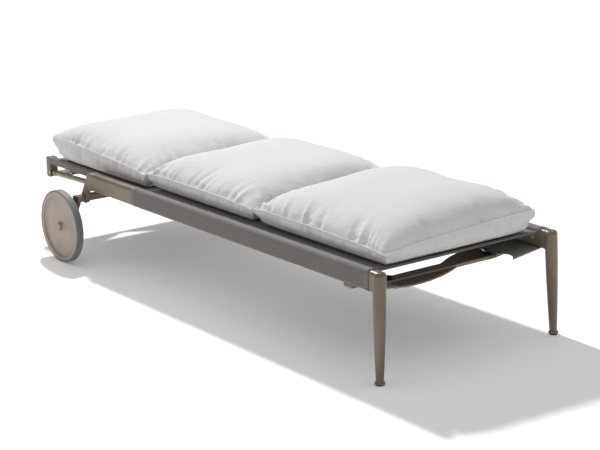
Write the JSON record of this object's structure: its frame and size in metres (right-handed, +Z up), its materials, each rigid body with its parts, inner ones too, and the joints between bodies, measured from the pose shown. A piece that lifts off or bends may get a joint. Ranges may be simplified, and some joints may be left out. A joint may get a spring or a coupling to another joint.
{
  "type": "reclining sun lounger",
  "caption": "Low reclining sun lounger: cast metal frame on legs and wheels, laced cloth seat, backrest on a folding stay, plump loose cushions.",
  "frame": {"origin": "on the ground, midway along the length and across the width", "axes": "+X to the foot end, +Y to the user's left when lying on the back, +Z up"},
  "size_m": [2.12, 0.892, 0.488],
  "materials": {
    "cast_metal": "satin champagne-taupe powder coat",
    "stay_metal": "satin light taupe",
    "sling_cloth": "matte woven outdoor cloth",
    "band_cloth": "matte woven outdoor cloth",
    "flap_cloth": "matte woven outdoor cloth",
    "cushion_cloth": "soft off-white canvas, topstitched",
    "lace_cord": "black round cord",
    "tyre_rubber": "grey rubber",
    "wheel_plastic": "matte greige",
    "black_plastic": "matte black",
    "black_steel": "black oxide",
    "bare_steel": "stainless"
  },
  "bodies": {
    "base": {"side_rail_left": "cast_metal", "side_rail_right": "cast_metal", "leg_left": "cast_metal", "leg_right": "cast_metal", "foot_glides": "black_plastic", "head_bracket_left": "cast_metal", "head_bracket_right": "cast_metal", "wheel_beam": "cast_metal", "beam_caps": "black_plastic", "set_screws": "black_steel", "wheel_arm_left": "cast_metal", "wheel_arm_right": "cast_metal", "axle_left": "bare_steel", "axle_right": "bare_steel", "axle_spacers": "black_plastic", "foot_crossbar": "cast_metal", "crossbar_bolts": "bare_steel", "seat_crossbar": "cast_metal", "seat_sling": "sling_cloth", "seat_band_left": "band_cloth", "seat_band_right": "band_cloth", "seat_flap_left": "flap_cloth", "seat_flap_right": "flap_cloth", "foot_laces": "lace_cord", "rail_rivets": "bare_steel", "guide_plate_left": "cast_metal", "guide_plate_right": "cast_metal", "guide_screws": "bare_steel", "hinge_pin_left": "bare_steel", "hinge_pin_right": "bare_steel", "middle_cushion": "cushion_cloth", "foot_cushion": "cushion_cloth"},
    "backrest": {"back_rail_left": "cast_metal", "back_rail_right": "cast_metal", "head_casting_left": "cast_metal", "head_casting_right": "cast_metal", "head_blade": "cast_metal", "back_crossbar": "cast_metal", "hinge_knuckle_left": "cast_metal", "hinge_knuckle_right": "cast_metal", "hinge_bushes": "black_plastic", "back_sling": "sling_cloth", "back_band_left": "band_cloth", "back_band_right": "band_cloth", "back_laces": "lace_cord", "stay_pins": "bare_steel", "head_cushion": "cushion_cloth"},
    "stay": {"stay_left": "stay_metal", "stay_right": "stay_metal", "stay_rod": "bare_steel", "stay_rollers": "black_plastic"},
    "wheel_left": {"tyre_left": "tyre_rubber", "wheel_disc_left": "wheel_plastic", "hub_cap_left": "wheel_plastic", "wheel_bush_left": "black_plastic"},
    "wheel_right": {"tyre_right": "tyre_rubber", "wheel_disc_right": "wheel_plastic", "hub_cap_right": "wheel_plastic", "wheel_bush_right": "black_plastic"}
  },
  "joints": [
    {"name": "recline", "type": "hinge", "parent": "base", "child": "backrest", "pos_m": [-0.335, 0, 0.314], "axis": [0, 1, 0], "range_deg": [0, 50]},
    {"name": "stay_fold", "type": "hinge", "parent": "backrest", "child": "stay", "pos_m": [-1.04, 0, 0.264], "axis": [0, 1, 0], "range_deg": [0, 12.5]},
    {"name": "wheel_left_spin", "type": "hinge", "parent": "base", "child": "wheel_left", "pos_m": [-0.733, 0.428, 0.136], "axis": [0, 1, 0], "continuous": true},
    {"name": "wheel_right_spin", "type": "hinge", "parent": "base", "child": "wheel_right", "pos_m": [-0.733, -0.428, 0.136], "axis": [0, 1, 0], "continuous": true}
  ],
  "couplings": [
    {"joint": "stay_fold", "follows": "recline", "ratio": 0.24}
  ]
}
